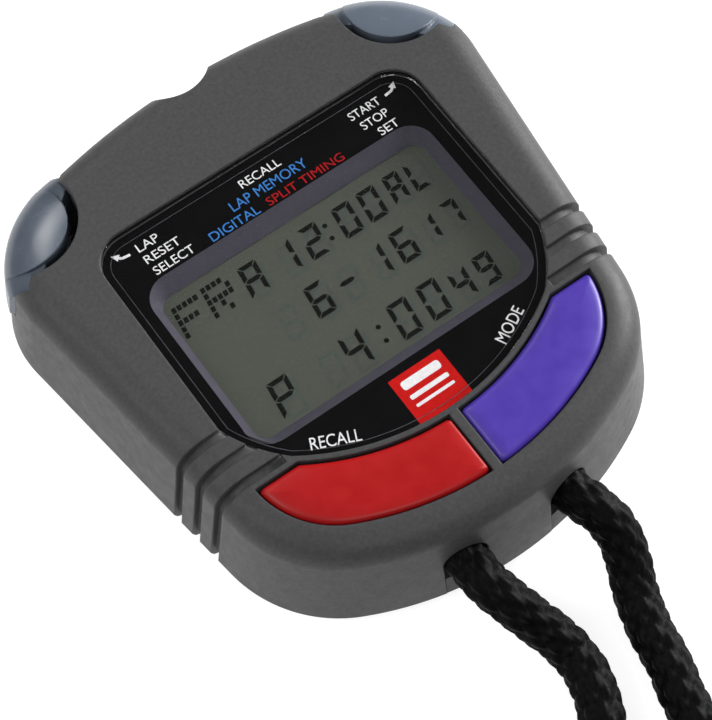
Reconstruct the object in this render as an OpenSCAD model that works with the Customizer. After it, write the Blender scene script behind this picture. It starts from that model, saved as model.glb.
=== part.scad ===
// Hand-held digital stopwatch with two corner buttons, two face keys and a braided lanyard.
// The watch lies on its back: +Z leaves the display, +Y points to the top of the case.

/* [Case] */
// Width of the case at its widest point
case_w = 69.4; // [69:0.1:69.8]
// Length of the case
case_l = 73.2; // [72.6:0.2:73.8]
// Height of the case from its back to the face
case_h = 17; // [17:0.1:17.4]
// Slope of the side walls, in degrees
wall_draft = 7.8; // [7:0.1:8.5]
// Width of the rounded shoulder round the face
shoulder_w = 4.2; // [3.8:0.1:4.2]
// Height of the rounded shoulder
shoulder_h = 3.8; // [3.2:0.1:4]
// Width of each grip groove
groove_w = 1.3; // [1:0.1:1.5]
// Depth of each grip groove
groove_d = 0.8; // [0.5:0.1:0.9]
// Distance from one grip groove to the next
groove_pitch = 3.3; // [3.1:0.1:3.4]

/* [Display] */
// Width of the lens
lens_w = 46.2; // [45.6:0.2:46.4]
// Thickness of the lens
lens_t = 1.8; // [1.5:0.1:1.8]
// Width of the display window
window_w = 37.8; // [36:0.2:38]
// Length of the display window
window_l = 22.3; // [20:0.1:22.3]

/* [Buttons] */
// Travel of a corner button into the case
button_travel = 0.7; // [0.4:0.05:0.8]
// Radius of a corner button's round dome
button_r = 6.1; // [5.9:0.1:6.2]
// Gap of the round well behind a corner button's dome
well_gap = 1.4; // [1.2:0.1:1.5]
// Travel of a face key
key_travel = 0.7; // [0.4:0.05:0.7]
// Height of a face key above the face
key_proud = 0.3; // [0.1:0.05:0.5]

/* [Lanyard] */
// Diameter of the braided cord
cord_d = 5.2; // [5:0.1:5.2]
// Distance from the centre line to each cord hole
cord_x = 7.4; // [7.4:0.1:7.6]

/* [Hidden] */
$fn = 64;
small = 0.01;

// ---- Outline of the case: six arcs tangent to each other and to two straight sides ----
side_tilt = 7.7;
bottom_r = 45.2;
bottom_corner_r = 17.7;
top_r = 85;
top_corner_r = 14;
bottom_mid = [0, bottom_r - case_l / 2];
top_mid = [0, case_l / 2 - top_r];
side_normal = [cos(side_tilt), -sin(side_tilt)];
top_swing = asin((case_w / 2 - top_corner_r) / (top_r - top_corner_r));
top_corner = top_mid + (top_r - top_corner_r) * [sin(top_swing), cos(top_swing)];
side_reach = side_normal * top_corner + top_corner_r;
bottom_swing = asin((side_reach - bottom_corner_r - side_normal * bottom_mid) / (bottom_r - bottom_corner_r))
  - side_tilt;
bottom_corner = bottom_mid + (bottom_r - bottom_corner_r) * [sin(bottom_swing), -cos(bottom_swing)];

// ---- Heights, measured from the back ----
draft = tan(wall_draft);
foot_z = 1.5;
shoulder_z = case_h - shoulder_h;
shoulder_inset = draft * (shoulder_z - foot_z);
skin_t = 2;
cover_t = 1.9;
gasket_t = 0.4;
ledge_z = cover_t + gasket_t;
cover_inset = 2.2;
cavity_inset = 3.8;
lens_top = case_h - 0.15;
lens_bottom = lens_top - lens_t;
tape_t = 0.1;
lens_seat = lens_bottom - tape_t;
seat_t = 1.2;
seat_rim = 0.9;
bezel_t = 2;
bezel_top = lens_bottom - 0.05;
lcd_top = bezel_top - bezel_t;
lcd_t = 2;
reflector_t = 0.3;
board_top = 8.8;
board_t = 1.2;
board_bottom = board_top - board_t;
cell_t = 3.2;
cell_r = 10;
cell_top = board_bottom - 0.3;

// ---- Places on the face ----
groove_top_y = -8.25;
lens_half = lens_w / 2;
lens_y_top = 20.05;
lens_arc_mid = [0, 10.6];
lens_arc_r = 32.05;
lens_foot_x = 18.2;
lens_corner_r = 4.2;
window_mid = [0.15, -0.25];
panel_w = 43;
key_inner_r = lens_arc_r + 1;
key_inset = 6.1;
key_gap = 0.75;
key_top_y = -17.05;
key_clear = 0.25;
key_spot = [15.5, -23];
plunger_r = 2;
dome_h = 1.8 + key_travel;

// ---- Corner buttons: u points out along the diagonal, v along the corner ----
button_spot = [27.8, 28.65];
button_axis = [-13.3, -0.75];
button_face_r = 15;
button_bottom = 8.7;
button_crown_z = 12.2;
button_crown_w = 8.2;
button_top = case_h - 0.6;
button_clear = 0.2;
ear_top = case_h - 1.3;
ear_half = 8.3;
ear_back = -4.4;
ear_roof = ear_top - 0.15;
ear_sight = -3.4;
stem_z = 11.6;
stem_r = 1.2;
boss_r = 2.7;
boss_in = 12;
stem_end = 13.5;
spring_bore_r = 2.3;
spring_r = 1.8;
spring_wire = 0.4;
well_r = button_r + well_gap;
pocket_back = ear_back - button_travel - button_clear;
pocket_floor = button_bottom - 0.3;
pocket_wall = 1.4;
contact_u = -stem_end - button_travel - 0.4;

// ---- Lanyard ----
cord_r = cord_d / 2;
cord_z = 8.1;
hole_r = 2.9;
tongue_top = cord_z - hole_r;
chamber_half = cord_x + hole_r + 0.25;
chamber_y = [-33.2, -22.4];
chamber_top = cord_z + hole_r + 0.35;
turn_mid_y = -33;
pin_r = 2;
pin_y = -30.9;
coil_mid = [-10, -104];
coil_r = 26;
coil_turns = 4.75;
coil_spread = (coil_turns / 2 + 1) * cord_d / 2;
coil_h = 2 * cord_d;

// Centre line of the strand that leaves the left hole and joins the coil
left_route = [
  [-7.4, -33, 8.1], [-7.4, -36, 8.1], [-7.2, -39, 8], [-6.2, -42, 7], [-4.9, -45, 5.2],
  [-3.8, -47.5, 3.7], [-3.2, -50, 2.7], [-3.3, -53, 2.6], [-4.4, -56.5, 2.6], [-6.3, -60, 2.6],
  [-9.5, -64, 2.6], [-14, -67.5, 2.6], [-19.4, -70.6, 2.6], [-24.4, -74, 2.6], [-28.8, -77.8, 2.6]
];
// Centre line of the strand that leaves the right hole and joins the coil's upper layer
right_route = [
  [7.4, -33, 8.1], [7.6, -36, 8.1], [8.6, -39, 7.9], [9.5, -42, 6.6], [9.2, -45, 4.6],
  [8.1, -48.5, 3], [6.6, -53, 2.6], [5.2, -57.5, 2.6], [4, -62, 2.6], [3.8, -66.5, 2.8],
  [5.4, -70.8, 3.4], [8.4, -75, 4.8], [11.8, -79.4, 6.8], [15, -83.7, 7.8]
];

// ---- Thumb notch in the top wall ----
notch_mid = [-0.65, 37.6];
notch_r = 5.2;
notch_floor = 4;

// ---- Cell and buzzer ----
cell_mid = [0, 8];
piezo_mid = [0, -7];
piezo_top = cover_t + 0.3;

// ---- Plain recessed panel on the back ----
back_panel_w = 34;
back_panel_y = [2, 22];
back_panel_d = 0.3;

// ---- Screws ----
screw_spots = [[-13, 29.6], [13, 29.6], [-24.4, -13], [24.4, -13]];
screw_boss_r = 2.4;
screw_r = 0.9;
screw_head_r = 1.7;
board_screw_spots = [[-23.6, -5.5], [23.6, -5.5], [-23.6, 8.5], [23.6, 8.5]];
board_post_r = 1.7;

// ---- Outline helpers ----
function arc(mid, r, from, to, steps) =
  [for (i = [0:steps]) let (a = from + (to - from) * i / steps) mid + r * [cos(a), sin(a)]];

function mirrored(points) = [for (i = [len(points) - 1:-1:0]) [-points[i][0], points[i][1]]];

function right_outline(grow) = concat(
  arc(bottom_mid, bottom_r + grow, -90, bottom_swing - 90, 8),
  arc(bottom_corner, bottom_corner_r + grow, bottom_swing - 90, -side_tilt, 9),
  arc(top_corner, top_corner_r + grow, -side_tilt, 90 - top_swing, 9),
  arc(top_mid, top_r + grow, 90 - top_swing, 90, 4)
);

function outline(grow) = concat(right_outline(grow), mirrored(right_outline(grow)));

// Arc of radius r from p to q, bulging to the right of the way from p to q
function arc_between(p, q, r, steps) =
  let (
    half = (q - p) / 2,
    rise = sqrt(r * r - half * half),
    left = [-half[1], half[0]] / norm(half),
    mid = p + half + left * rise,
    a = atan2(p[1] - mid[1], p[0] - mid[0]),
    swing = 2 * asin(norm(half) / r)
  )
  arc(mid, r, a, a + swing, steps);

lens_foot = [lens_foot_x, lens_arc_mid[1] - sqrt(pow(lens_arc_r, 2) - pow(lens_foot_x, 2))];
function right_lens(grow) =
  let (
    low = [lens_half + grow, groove_top_y],
    foot_a = atan2(lens_foot[1] - lens_arc_mid[1], lens_foot[0]),
    foot = lens_arc_mid + (lens_arc_r + grow) * [cos(foot_a), sin(foot_a)]
  )
  concat(
    arc(lens_arc_mid, lens_arc_r + grow, -90, foot_a, 8),
    arc_between(foot, low, 20, 4),
    arc([lens_half - lens_corner_r, lens_y_top - lens_corner_r], lens_corner_r + grow, 0, 90, 6)
  );

function lens_outline(grow) = concat(right_lens(grow), mirrored(right_lens(grow)));

module slab(points, from, to) {
  translate([0, 0, from]) linear_extrude(to - from) polygon(points);
}

module box(from, to) {
  translate(from) cube(to - from);
}

module rounded_box(size, r, from, to) {
  translate([0, 0, from]) linear_extrude(to - from) difference() {
    square(size, center = true);
    for (sx = [-1, 1], sy = [-1, 1])
      translate([sx * (size[0] / 2 - r), sy * (size[1] / 2 - r)]) difference() {
        translate([sx * r / 2, sy * r / 2]) square([r + small, r + small], center = true);
        circle(r);
      }
  }
}

module ring(outer, inner, h) {
  difference() {
    cylinder(h = h, r = outer);
    translate([0, 0, -small]) cylinder(h = h + 2 * small, r = inner);
  }
}

// Places its children at the right corner button, with X along u, Y along v
module at_button() {
  translate([button_spot[0], button_spot[1], 0]) rotate(45) children();
}

// Turns its children from +Z to point into the case along a button's stem
module along_stem(start) {
  translate([-start, 0, stem_z]) rotate([0, -90, 0]) children();
}

// ---- Sweeps ----
function unit(v) = v / norm(v);

function route_direction(route, i) =
  unit(route[min(i + 1, len(route) - 1)] - route[max(i - 1, 0)]);

// A closed tube of radius r with so many sides along a route
module tube(route, r, sides) {
  count = len(route);
  points = [
    for (i = [0:count - 1])
      let (
        ahead = route_direction(route, i),
        side = unit(cross(ahead, [0, 0, 1])),
        up = cross(side, ahead)
      )
      for (k = [0:sides - 1])
        let (a = 360 * (k + 0.5) / sides)
        route[i] + r * (cos(a) * side + sin(a) * up)
  ];
  walls = [
    for (i = [0:count - 2], k = [0:sides - 1])
      let (a = i * sides + k, b = i * sides + (k + 1) % sides)
      for (face = [[a, b, b + sides], [a, b + sides, a + sides]]) face
  ];
  first = [for (k = [sides - 1:-1:0]) k];
  last = [for (k = [0:sides - 1]) (count - 1) * sides + k];
  polyhedron(points, concat(walls, [first, last]));
}

// A helix about +Z, from z = 0 to z = length, measured over its wire
module helix(mean_r, wire_r, turns, length) {
  steps = 12 * turns;
  rise = length - 2 * wire_r;
  sides = 6;
  points = [
    for (i = [0:steps])
      let (
        a = 360 * turns * i / steps,
        out = [cos(a), sin(a), 0],
        mid = mean_r * out + [0, 0, wire_r + rise * i / steps]
      )
      for (k = [0:sides - 1])
        let (b = 360 * k / sides)
        mid + wire_r * (cos(b) * out + sin(b) * [0, 0, 1])
  ];
  walls = [
    for (i = [0:steps - 1], k = [0:sides - 1])
      let (a = i * sides + k, b = i * sides + (k + 1) % sides)
      for (face = [[a, b, b + sides], [a, b + sides, a + sides]]) face
  ];
  first = [for (k = [sides - 1:-1:0]) k];
  last = [for (k = [0:sides - 1]) steps * sides + k];
  polyhedron(points, concat(walls, [first, last]));
}

// ---- Front case ----
// The outside of the case, moved in by inset all over, as one convex body
module case_body(inset) {
  hull() {
    slab(outline(-1.2 - inset), 0, small);
    slab(outline(-0.4 - inset), 0.5, 0.5 + small);
    slab(outline(-inset), foot_z, foot_z + small);
    for (a = [0:18:90])
      slab(
        outline(-shoulder_inset - inset - shoulder_w * (1 - cos(a))),
        shoulder_z - inset + shoulder_h * sin(a) - small,
        shoulder_z - inset + shoulder_h * sin(a)
      );
  }
}

module groove_bands() {
  for (i = [0:2], s = [-1, 1]) {
    low = groove_top_y - i * groove_pitch - groove_w;
    reach = s > 0 ? [lens_half - 4, case_w] : [-case_w, -lens_half + 4];
    box([reach[0], low, -1], [reach[1], low + groove_w, case_h + 1]);
  }
}

// Upright column that leans with the top wall, for the thumb notch and the wall behind it
module notch_column(r, from) {
  translate([notch_mid[0], notch_mid[1], shoulder_z]) rotate([wall_draft, 0, 0])
    translate([0, 0, from - shoulder_z]) cylinder(h = 2 * case_h, r = r);
}

// Round well for one corner button's dome, and the space for its ears, part of it under the case's lip
module button_pocket() {
  half = ear_half + button_clear;
  at_button() {
    translate([0, 0, pocket_floor]) cylinder(h = case_h, r = well_r);
    box([ear_sight, -half, pocket_floor], [case_w, half, case_h + 1]);
    box([pocket_back, -half, pocket_floor], [case_w, half, ear_roof]);
  }
}

// Wall round one pocket, inside the case, and the guide of its stem
module pocket_shell() {
  half = ear_half + button_clear + pocket_wall;
  at_button() {
    translate([0, 0, pocket_floor - pocket_wall]) {
      cylinder(h = case_h, r = well_r + pocket_wall);
      box([pocket_back - pocket_wall, -half, 0], [case_w, half, case_h]);
    }
    along_stem(well_r) cylinder(h = boss_in - well_r, r = boss_r);
  }
}

module both_corners() {
  children();
  mirror([1, 0, 0]) children();
}

module front_case() {
  color("dimgray") difference() {
    union() {
      difference() {
        case_body(0);
        slab(outline(-cavity_inset), -1, case_h - skin_t);
      }
      intersection() {
        case_body(0.4);
        union() {
          both_corners() pocket_shell();
          slab(lens_outline(seat_rim), lens_seat - seat_t, case_h - skin_t + small);
          for (spot = screw_spots)
            translate([spot[0], spot[1], ledge_z]) cylinder(h = case_h - ledge_z, r = screw_boss_r);
          for (spot = board_screw_spots)
            translate([spot[0], spot[1], board_top])
              cylinder(h = case_h - board_top - skin_t / 2, r = board_post_r);
          chamber_block();
          notch_column(notch_r + skin_t, notch_floor - skin_t);
        }
      }
    }
    slab(outline(-cover_inset), -1, ledge_z);
    intersection() {
      groove_bands();
      difference() {
        slab(outline(1), -1, case_h + 1);
        case_body(groove_d);
      }
    }
    notch_column(notch_r, notch_floor);
    both_corners() button_pocket();
    slab(lens_outline(0.1), lens_seat, case_h + 1);
    slab(lens_outline(-1.6), lens_seat - seat_t - 1, case_h);
    for (s = [-1, 1]) key_opening(s);
    both_corners() at_button() along_stem(well_r - 1) cylinder(h = boss_in, r = stem_r + 0.05);
    both_corners() at_button() along_stem(boss_in - 2) cylinder(h = 1.2, r = stem_r + 0.7);
    for (spot = screw_spots)
      translate([spot[0], spot[1], ledge_z - 1]) cylinder(h = 7, r = screw_r);
    for (spot = board_screw_spots)
      translate([spot[0], spot[1], board_top - small]) cylinder(h = 3, r = screw_r);
    lanyard_space();
  }
}

// Solid block that the lanyard's chamber is cut from
module chamber_block() {
  box([-chamber_half - 1.2, -case_l, ledge_z], [chamber_half + 1.2, chamber_y[1] + 1.2, chamber_top + 1.2]);
}

module lanyard_space() {
  box([-chamber_half, chamber_y[0], -1], [chamber_half, chamber_y[1], chamber_top]);
  for (s = [-1, 1]) translate([s * cord_x, chamber_y[0] + 1, 0]) {
    translate([0, 0, cord_z]) rotate([90, 0, 0]) cylinder(h = 8, r = hole_r);
    box([-hole_r, -8, -1], [hole_r, 0, cord_z]);
  }
  translate([0, pin_y, chamber_top - small]) cylinder(h = 0.9, r = pin_r);
}

// ---- Face keys ----
function key_outline(grow) =
  let (
    outer_r = bottom_r - key_inset + grow,
    corner_r = bottom_corner_r - key_inset + grow,
    inner_r = key_inner_r - grow,
    left = key_gap - 0.6 * grow,
    top = key_top_y + grow,
    start_a = -acos((left - bottom_mid[0]) / outer_r),
    tip_a = asin((top - bottom_corner[1]) / corner_r),
    inner_a = asin((top - lens_arc_mid[1]) / inner_r),
    back_a = -acos(left / inner_r)
  )
  concat(
    arc(bottom_mid, outer_r, start_a, bottom_swing - 90, 8),
    arc(bottom_corner, corner_r, bottom_swing - 90, tip_a, 6),
    arc(lens_arc_mid, inner_r, inner_a, back_a, 8)
  );

module side_of(s) {
  mirror([s < 0 ? 1 : 0, 0, 0]) children();
}

module key_opening(s) {
  side_of(s) slab(key_outline(key_clear), shoulder_z, case_h + 1);
}

module face_key() {
  flange_top = case_h - skin_t - 0.1;
  slab(key_outline(0), flange_top - small, case_h + key_proud);
  difference() {
    slab(key_outline(0.7), flange_top - 1.3, flange_top);
    slab(lens_outline(seat_rim + 0.3), flange_top - 2, flange_top + 1);
  }
  translate([key_spot[0], key_spot[1], board_top + dome_h])
    cylinder(h = flange_top - board_top - dome_h, r = plunger_r);
}

module mode_key() {
  color("slateblue") face_key();
}

module recall_key() {
  color("firebrick") side_of(-1) face_key();
}

module dome() {
  sheet_t = 0.5;
  top = dome_h - sheet_t;
  translate([key_spot[0], key_spot[1], board_top + sheet_t]) rotate_extrude()
    polygon([[2.2, 0], [3.1, 0], [2.3, top], [0, top], [0, top - 0.6], [1.6, top - 0.6]]);
}

module mode_dome() {
  color("lightgray") dome();
}

module recall_dome() {
  color("lightgray") side_of(-1) dome();
}

module keypad_sheet() {
  color("gainsboro") for (s = [-1, 1]) side_of(s) difference() {
    box([12.6, -26.6, board_top], [20.5, -19.6, board_top + 0.5]);
    translate([key_spot[0], key_spot[1], board_top - 1]) cylinder(h = 3, r = 2.2);
  }
}

// ---- Rear cover and its fastenings ----
module rear_cover() {
  color("dimgray") difference() {
    union() {
      slab(outline(-cover_inset - 0.15), 0, cover_t);
      box([-chamber_half + 0.1, chamber_y[0] + 0.1, cover_t - small],
          [chamber_half - 0.1, chamber_y[1] - 0.1, tongue_top - 0.25]);
      intersection() {
        case_body(0.05);
        for (s = [-1, 1]) side_of(s)
          box([cord_x - hole_r + 0.08, -case_l, 0], [cord_x + hole_r - 0.08, chamber_y[0] + 1, tongue_top]);
      }
    }
    for (spot = screw_spots) translate([spot[0], spot[1], 0]) {
      translate([0, 0, -1]) cylinder(h = 5, r = screw_r + 0.15);
      translate([0, 0, -1]) cylinder(h = 2, r = screw_head_r + 0.1);
    }
    translate([0, pin_y, cover_t]) cylinder(h = 5, r = pin_r);
    box([-back_panel_w / 2, back_panel_y[0], -1], [back_panel_w / 2, back_panel_y[1], back_panel_d]);
  }
}

module case_gasket() {
  color("black") difference() {
    slab(outline(-cover_inset - 0.3), cover_t, ledge_z);
    slab(outline(-cavity_inset + 0.1), cover_t - 1, ledge_z + 1);
    box([-chamber_half - 1.2, -case_l, 0], [chamber_half + 1.2, chamber_y[1], 5]);
  }
}

module screw(head_r, head_h, shank_r, shank_h) {
  difference() {
    union() {
      cylinder(h = head_h, r = head_r);
      cylinder(h = head_h + shank_h, r = shank_r);
    }
    translate([0, 0, -small]) for (a = [0, 90]) rotate(a)
      box([-head_r * 0.62, -0.22, 0], [head_r * 0.62, 0.22, head_h * 0.55]);
  }
}

module case_screws() {
  color("silver") for (spot = screw_spots)
    translate([spot[0], spot[1], 0.1]) screw(screw_head_r, 0.9, screw_r, 6);
}

module board_screws() {
  color("silver") for (spot = board_screw_spots)
    translate([spot[0], spot[1], board_bottom - 0.8]) screw(1.6, 0.8, screw_r, board_t + 2.5);
}

// ---- Display ----
module display_lens() {
  color("black") slab(lens_outline(0), lens_bottom, lens_top);
}

module lens_adhesive() {
  color("gray") difference() {
    slab(lens_outline(-0.1), lens_seat, lens_bottom);
    slab(lens_outline(-1.5), lens_seat - 1, lens_bottom + 1);
  }
}

module display_bezel() {
  slope = 1.5;
  low_h = lens_seat - seat_t - 0.1 - lcd_top;
  color("darkslategray") difference() {
    union() {
      translate([window_mid[0], window_mid[1], 0])
        rounded_box([panel_w, window_l + 5.6], 2, lcd_top, lcd_top + low_h);
      intersection() {
        translate([window_mid[0], window_mid[1], 0])
          rounded_box([panel_w - 0.4, window_l + 5], 2, lcd_top, bezel_top);
        slab(lens_outline(-1.8), lcd_top, bezel_top);
      }
    }
    translate([window_mid[0], window_mid[1], 0]) hull() {
      rounded_box([window_w, window_l], 1.5, lcd_top - small, lcd_top);
      rounded_box([window_w + 2 * slope, window_l + 2 * slope], 2, bezel_top, bezel_top + small);
    }
  }
}

module lcd_panel() {
  color("darkseagreen") translate([window_mid[0], window_mid[1], 0]) {
    rounded_box([panel_w, window_l + 5.6], 0.3, lcd_top - lcd_t / 2, lcd_top - 0.05);
    rounded_box([panel_w, window_l + 2.6], 0.3, lcd_top - lcd_t, lcd_top - lcd_t / 2 + small);
  }
}

module lcd_reflector() {
  color("silver") translate([window_mid[0], window_mid[1], 0])
    rounded_box([41, window_l + 1.6], 0.3, lcd_top - lcd_t - reflector_t, lcd_top - lcd_t);
}

module zebra_strip(s) {
  y = window_mid[1] + s * (window_l / 2 + 2.05);
  color("hotpink") box([-20, y - 0.7, board_top], [20, y + 0.7, lcd_top - lcd_t / 2]);
}

module zebra_strip_upper() {
  zebra_strip(1);
}

module zebra_strip_lower() {
  zebra_strip(-1);
}

// ---- Circuit board and what it carries ----
module circuit_board() {
  color("darkgreen") difference() {
    union() {
      box([-25.6, -9.5, board_bottom], [25.6, 13, board_top]);
      box([-21.6, -19.6, board_bottom], [21.6, 21.8, board_top]);
      for (s = [-1, 1]) side_of(s) box([12.6, -26.6, board_bottom], [20.5, -19.5, board_top]);
    }
    for (spot = board_screw_spots)
      translate([spot[0], spot[1], 0]) cylinder(h = case_h, r = screw_r + 0.1);
    both_corners() at_button() cylinder(h = case_h, r = well_r + pocket_wall + 0.3);
  }
}

module processor_chip() {
  color("black") translate([-13, -12.5, board_bottom]) mirror([0, 0, 1]) rotate_extrude()
    polygon([[0, 0], [4.2, 0], [3.9, 0.6], [2.8, 1.2], [1.4, 1.5], [0, 1.6]]);
}

module quartz_crystal() {
  color("silver") translate([13.5, 2, board_bottom - 1.05]) rotate([90, 0, 0]) cylinder(h = 6, r = 1);
}

module chip_parts() {
  color("tan") for (i = [0:3])
    box([13, -9 - 2.2 * i, board_bottom - 0.7], [14.6, -8.2 - 2.2 * i, board_bottom]);
}

module coin_cell() {
  color("silver") translate([cell_mid[0], cell_mid[1], cell_top - cell_t]) {
    cylinder(h = cell_t - 0.4, r = cell_r);
    cylinder(h = cell_t, r = cell_r - 1);
  }
}

module cell_holder() {
  color("black") translate([cell_mid[0], cell_mid[1], cell_top - cell_t + 0.4]) difference() {
    ring(cell_r + 1.2, cell_r + 0.1, board_bottom - cell_top + cell_t - 0.4);
    box([-4, -cell_r - 3, -1], [4, 0, 10]);
  }
}

module cell_clip() {
  bottom = cell_top - cell_t;
  color("silver") translate([cell_mid[0], cell_mid[1], 0]) {
    box([-3, -cell_r - 2, bottom - 0.3], [3, cell_r - 4, bottom]);
    box([-3, -cell_r - 2, bottom - 0.3], [3, -cell_r - 1.7, board_bottom]);
  }
}

module cell_contact() {
  color("gold") translate([cell_mid[0], cell_mid[1], cell_top]) cylinder(h = board_bottom - cell_top, r = 5);
}

module piezo_disc() {
  color("goldenrod") translate([piezo_mid[0], piezo_mid[1], cover_t]) {
    cylinder(h = 0.15, r = 9);
    cylinder(h = 0.3, r = 6.5);
  }
}

module buzzer_spring() {
  color("gold") translate([piezo_mid[0], piezo_mid[1] - 3.5, piezo_top])
    helix(1.1, 0.2, 5, board_bottom - piezo_top);
}

// ---- Corner buttons ----
// Body of revolution that follows the rounded corner of the case, crowned up to a height
module button_band(top) {
  lip = button_face_r + draft * (button_crown_z - button_bottom);
  inner = 3;
  translate([button_axis[0], button_axis[1], 0]) rotate_extrude() polygon(concat(
    [[inner, button_bottom], [lip, button_bottom]],
    [for (a = [0:15:90]) [
      button_face_r - button_crown_w * (1 - cos(a)),
      button_crown_z + (top - button_crown_z) * sin(a)
    ]],
    [[inner, top]]
  ));
}

module button_cap() {
  color("slategray") at_button() difference() {
    union() {
      intersection() {
        button_band(button_top);
        cylinder(h = case_h, r = button_r);
      }
      intersection() {
        button_band(ear_top);
        box([ear_back, -ear_half, 0], [case_w, ear_half, case_h]);
      }
      along_stem(2) cylinder(h = stem_end - 2, r = stem_r);
    }
    along_stem(1.5) difference() {
      cylinder(h = well_r, r = spring_bore_r);
      translate([0, 0, -1]) cylinder(h = well_r + 2, r = stem_r);
    }
    along_stem(boss_in + 0.15) ring(stem_r + 1, stem_r - 0.4, 0.5);
  }
}

module button_spring() {
  color("silver") at_button() along_stem(1.5) helix(spring_r, spring_wire / 2, 5, well_r - 1.9);
}

module button_seal() {
  color("black") at_button() along_stem(boss_in - 1.4) rotate_extrude()
    translate([stem_r + 0.05 + 0.31, 0]) circle(0.3);
}

module button_clip() {
  color("silver") at_button() along_stem(boss_in + 0.15) ring(2, stem_r - 0.4, 0.5);
}

module button_contact() {
  color("gold") at_button() {
    box([contact_u - 0.2, -1.6, board_top], [contact_u, 1.6, stem_z + 1.3]);
    box([contact_u - 1.9, -1.6, board_top], [contact_u, 1.6, board_top + 0.2]);
  }
}

module start_stop_button() {
  button_cap();
}

module start_stop_spring() {
  button_spring();
}

module start_stop_seal() {
  button_seal();
}

module start_stop_clip() {
  button_clip();
}

module start_stop_contact() {
  button_contact();
}

module lap_reset_button() {
  mirror([1, 0, 0]) button_cap();
}

module lap_reset_spring() {
  mirror([1, 0, 0]) button_spring();
}

module lap_reset_seal() {
  mirror([1, 0, 0]) button_seal();
}

module lap_reset_clip() {
  mirror([1, 0, 0]) button_clip();
}

module lap_reset_contact() {
  mirror([1, 0, 0]) button_contact();
}

// ---- Lanyard ----
module lanyard_pin() {
  color("silver") translate([0, pin_y, cover_t]) cylinder(h = chamber_top + 0.9 - small - cover_t, r = pin_r);
}

module lanyard_inner_turn() {
  color("black") translate([0, turn_mid_y, cord_z])
    rotate_extrude(angle = 180) translate([cord_x, 0]) circle(cord_r - 0.05);
}

module lanyard_left_strand() {
  color("black") tube(left_route, cord_r, 10);
}

module lanyard_right_strand() {
  color("black") tube(right_route, cord_r, 10);
}

module lanyard_coil() {
  color("black") translate([coil_mid[0], coil_mid[1], 0]) rotate_extrude()
    polygon([
      [coil_r - coil_spread, cord_r], [coil_r - coil_spread + cord_r, 0],
      [coil_r + coil_spread - cord_r, 0], [coil_r + coil_spread, cord_r],
      [coil_r + coil_spread, coil_h - cord_r], [coil_r + coil_spread - cord_r, coil_h],
      [coil_r - coil_spread + cord_r, coil_h], [coil_r - coil_spread, coil_h - cord_r]
    ]);
}

front_case();
rear_cover();
case_gasket();
case_screws();
display_lens();
lens_adhesive();
display_bezel();
lcd_panel();
lcd_reflector();
zebra_strip_upper();
zebra_strip_lower();
circuit_board();
board_screws();
processor_chip();
quartz_crystal();
chip_parts();
coin_cell();
cell_holder();
cell_clip();
cell_contact();
piezo_disc();
buzzer_spring();
start_stop_button();
start_stop_spring();
start_stop_seal();
start_stop_clip();
start_stop_contact();
lap_reset_button();
lap_reset_spring();
lap_reset_seal();
lap_reset_clip();
lap_reset_contact();
mode_key();
recall_key();
keypad_sheet();
mode_dome();
recall_dome();
lanyard_pin();
lanyard_inner_turn();
lanyard_left_strand();
lanyard_right_strand();
lanyard_coil();
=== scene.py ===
"""Looks of a hand-held digital stopwatch on a braided lanyard.

The watch lies on its back: +Z leaves the display, and +Y points to the end with the corner buttons.
Lengths are written in millimetres, and they become metres when a mesh is made. Only the lights are
written in metres.
"""
import math

import bpy
from mathutils import Euler, Matrix, Vector


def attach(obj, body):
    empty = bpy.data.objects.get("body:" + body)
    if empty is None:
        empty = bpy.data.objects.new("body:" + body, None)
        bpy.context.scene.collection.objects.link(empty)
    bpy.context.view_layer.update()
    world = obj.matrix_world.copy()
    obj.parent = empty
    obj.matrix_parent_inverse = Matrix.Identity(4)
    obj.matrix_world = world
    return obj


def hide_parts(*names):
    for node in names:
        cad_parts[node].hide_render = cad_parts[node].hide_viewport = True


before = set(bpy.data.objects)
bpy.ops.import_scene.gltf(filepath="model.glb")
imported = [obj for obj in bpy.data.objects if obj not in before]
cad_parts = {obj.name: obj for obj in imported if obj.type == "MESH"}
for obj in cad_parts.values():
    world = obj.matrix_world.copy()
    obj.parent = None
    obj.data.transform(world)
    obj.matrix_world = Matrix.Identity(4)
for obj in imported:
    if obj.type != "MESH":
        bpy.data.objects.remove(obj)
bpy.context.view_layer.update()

MM = 0.001

# ---------------------------------------------------------------- camera

FOCAL_LENGTH = 106.6
SENSOR_W = 36
CAMERA_PLACE = (-61.82, -98.07, 241.73)
# Degrees about X, Y and Z
CAMERA_TURN = (25.07, 1.67, -35.24)
# Shares of the picture's longer side
CAMERA_SHIFT = (0.0251, -0.0099)
NEAREST_SEEN = 10


def add_camera():
    data = bpy.data.cameras.new("camera")
    data.lens = FOCAL_LENGTH
    data.sensor_width = SENSOR_W
    data.shift_x, data.shift_y = CAMERA_SHIFT
    data.clip_start = NEAREST_SEEN * MM
    camera = bpy.data.objects.new("camera", data)
    camera.location = [c * MM for c in CAMERA_PLACE]
    camera.rotation_euler = Euler([math.radians(a) for a in CAMERA_TURN])
    bpy.context.scene.collection.objects.link(camera)
    bpy.context.scene.camera = camera


add_camera()

# ---------------------------------------------------------------- points and curves


def polar(mid, r, degrees):
    a = math.radians(degrees)
    return (mid[0] + r * math.cos(a), mid[1] + r * math.sin(a))


def arc(mid, r, start, end, steps):
    """Points of an arc about mid from start to end, in degrees."""
    return [polar(mid, r, start + (end - start) * i / steps) for i in range(steps + 1)]


def mirrored(points):
    """The points on the other side of the Y axis, in an order that still turns left."""
    return [(-x, y) for x, y in reversed(points)]


CURVE_STEPS = 30


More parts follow.
